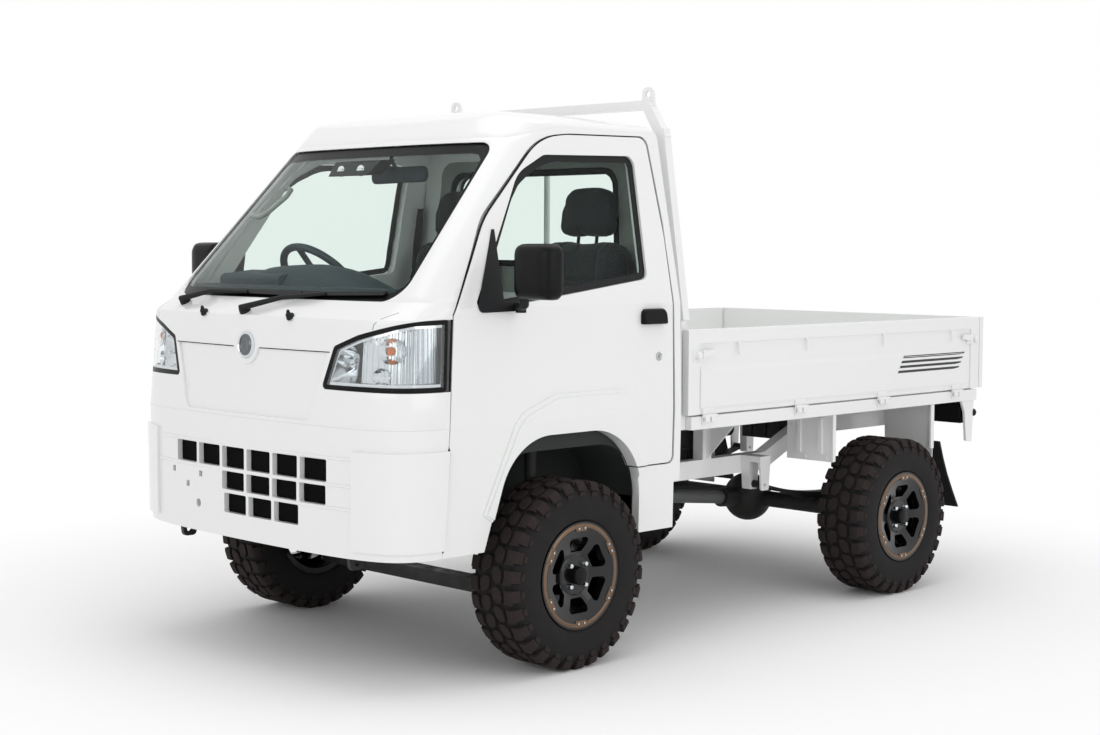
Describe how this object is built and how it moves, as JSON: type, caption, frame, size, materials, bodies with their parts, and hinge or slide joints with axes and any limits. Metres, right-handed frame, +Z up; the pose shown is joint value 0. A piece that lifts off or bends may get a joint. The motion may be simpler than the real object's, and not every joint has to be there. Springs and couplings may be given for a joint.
{
  "type": "kei truck",
  "caption": "Raised light forward-control pickup with a cab over its front wheels, a drop-sided load bed, a guard frame and off-road tyres; doors, gates, steering and wheels move.",
  "frame": {"origin": "on the ground under the middle of the body's length and width", "axes": "+X forwards, +Y to the vehicle's left, +Z up"},
  "size_m": [3.395, 1.9702, 1.99],
  "materials": {
    "body_paint": "gloss white enamel",
    "chassis_paint": "satin black underbody paint",
    "spring_steel": "dark sprung steel",
    "exhaust_steel": "dull aluminised steel",
    "lamp_lens": "clear polycarbonate",
    "tail_lens": "red moulded lens",
    "clear_glass": "laminated and tempered glass",
    "seat_cloth": "dark grey woven cloth",
    "dash_plastic": "grained moulding",
    "trim_plastic": "black moulding",
    "cast_iron": "cast",
    "cast_alloy": "as cast",
    "wheel_alloy": "gloss black cast wheel",
    "tyre_rubber": "moulded rubber"
  },
  "bodies": {
    "chassis": {"frame_rails": "chassis_paint", "cross_members": "chassis_paint", "cab_floor": "body_paint", "front_suspension": "chassis_paint", "rear_axle": "chassis_paint", "leaf_springs": "spring_steel", "chassis_brackets": "body_paint", "exhaust": "exhaust_steel", "fuel_tank": "chassis_paint", "roof_panel": "body_paint", "cab_back_panel": "body_paint", "front_panel": "body_paint", "headlamps": "lamp_lens", "front_bumper": "body_paint", "cab_glass": "clear_glass", "load_bed": "body_paint", "gate_hinges": "body_paint", "headboard": "body_paint", "guard_frame": "body_paint", "tail_lamps": "tail_lens", "seats": "seat_cloth", "dashboard": "dash_plastic", "drive_line": "cast_alloy", "side_frame_left": "body_paint", "side_frame_right": "body_paint"},
    "door_left": {"door_left": "body_paint", "door_glass_left": "clear_glass", "door_fittings_left": "trim_plastic"},
    "door_right": {"door_right": "body_paint", "door_glass_right": "clear_glass", "door_fittings_right": "trim_plastic"},
    "side_gate_left": {"side_gate_left": "body_paint"},
    "side_gate_right": {"side_gate_right": "body_paint"},
    "tailgate": {"tailgate": "body_paint"},
    "steering_wheel": {"steering_wheel": "dash_plastic"},
    "knuckle_left": {"knuckle_left": "cast_iron"},
    "knuckle_right": {"knuckle_right": "cast_iron"},
    "wheel_front_left": {"wheel_front_left": "wheel_alloy", "tyre_front_left": "tyre_rubber"},
    "wheel_front_right": {"wheel_front_right": "wheel_alloy", "tyre_front_right": "tyre_rubber"},
    "wheel_rear_left": {"wheel_rear_left": "wheel_alloy", "tyre_rear_left": "tyre_rubber"},
    "wheel_rear_right": {"wheel_rear_right": "wheel_alloy", "tyre_rear_right": "tyre_rubber"}
  },
  "joints": [
    {"name": "steering", "type": "hinge", "parent": "chassis", "child": "knuckle_left", "pos_m": [0.915, 0.565, 0.3175], "axis": [0, 0, 1], "range_deg": [-32, 32]},
    {"name": "steering_right", "type": "hinge", "parent": "chassis", "child": "knuckle_right", "pos_m": [0.915, -0.565, 0.3175], "axis": [0, 0, 1], "range_deg": [-32, 32]},
    {"name": "steering_wheel_turn", "type": "hinge", "parent": "chassis", "child": "steering_wheel", "pos_m": [1.085, -0.35, 1.262], "axis": [-0.766, 0, 0.6428], "range_deg": [-576, 576]},
    {"name": "door_left_hinge", "type": "hinge", "parent": "chassis", "child": "door_left", "pos_m": [1.435, 0.7375, 1], "axis": [0, 0, -1], "range_deg": [0, 68]},
    {"name": "door_right_hinge", "type": "hinge", "parent": "chassis", "child": "door_right", "pos_m": [1.435, -0.7375, 1], "axis": [0, 0, 1], "range_deg": [0, 68]},
    {"name": "side_gate_left_hinge", "type": "hinge", "parent": "chassis", "child": "side_gate_left", "pos_m": [-0.7, 0.7335, 0.8007], "axis": [-1, 0, 0], "range_deg": [0, 130]},
    {"name": "side_gate_right_hinge", "type": "hinge", "parent": "chassis", "child": "side_gate_right", "pos_m": [-0.7, -0.7335, 0.8007], "axis": [1, 0, 0], "range_deg": [0, 130]},
    {"name": "tailgate_hinge", "type": "hinge", "parent": "chassis", "child": "tailgate", "pos_m": [-1.6925, 0, 0.8007], "axis": [0, -1, 0], "range_deg": [0, 130]},
    {"name": "wheel_front_left_spin", "type": "hinge", "parent": "knuckle_left", "child": "wheel_front_left", "pos_m": [0.915, 0.705, 0.3175], "axis": [0, 1, 0], "continuous": true},
    {"name": "wheel_front_right_spin", "type": "hinge", "parent": "knuckle_right", "child": "wheel_front_right", "pos_m": [0.915, -0.705, 0.3175], "axis": [0, 1, 0], "continuous": true},
    {"name": "wheel_rear_left_spin", "type": "hinge", "parent": "chassis", "child": "wheel_rear_left", "pos_m": [-0.985, 0.705, 0.3175], "axis": [0, 1, 0], "continuous": true},
    {"name": "wheel_rear_right_spin", "type": "hinge", "parent": "chassis", "child": "wheel_rear_right", "pos_m": [-0.985, -0.705, 0.3175], "axis": [0, 1, 0], "continuous": true}
  ],
  "couplings": [
    {"joint": "steering_right", "follows": "steering", "ratio": 1},
    {"joint": "steering_wheel_turn", "follows": "steering", "ratio": 18}
  ]
}
